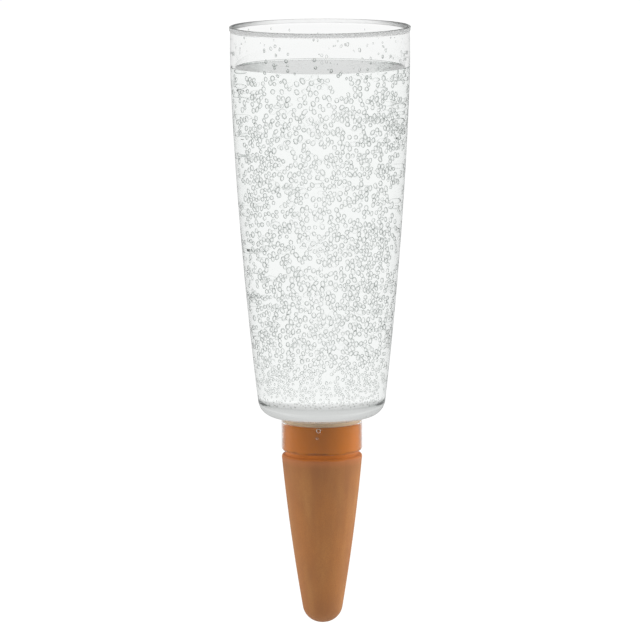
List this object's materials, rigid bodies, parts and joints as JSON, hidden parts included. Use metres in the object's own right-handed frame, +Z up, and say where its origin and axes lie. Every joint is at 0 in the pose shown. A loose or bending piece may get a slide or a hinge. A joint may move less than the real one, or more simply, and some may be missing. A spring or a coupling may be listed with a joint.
{
  "type": "self watering spike",
  "caption": "Clear bubbled reservoir cup whose collar plugs onto the neck of a hollow porous clay cone, which is pushed into potting soil and lets the water seep out.",
  "frame": {"origin": "on the axis at the top of the clay cone's shoulder, which is the soil line when the spike is in use", "axes": "+Z up along the axis, from the cone's tip to the cup's open mouth; X and Y are equal directions of a round part"},
  "size_m": [0.099, 0.099, 0.3317],
  "materials": {
    "terracotta": "matt, unglazed",
    "soft_seal": "satin, translucent",
    "clear_plastic": "clear, glossy, with air bubbles on its wetted wall"
  },
  "bodies": {
    "clay_cone": {"clay_cone": "terracotta"},
    "seal_ring": {"seal_ring": "soft_seal"},
    "reservoir_cup": {"reservoir_cup": "clear_plastic"}
  },
  "joints": [
    {"name": "cup_turn", "type": "hinge", "parent": "clay_cone", "child": "seal_ring", "pos_m": [0, 0, 0.0177], "axis": [0, 0, 1], "continuous": true},
    {"name": "cup_lift", "type": "slide", "parent": "seal_ring", "child": "reservoir_cup", "axis": [0, 0, 1], "range_m": [0, 0.02]}
  ]
}
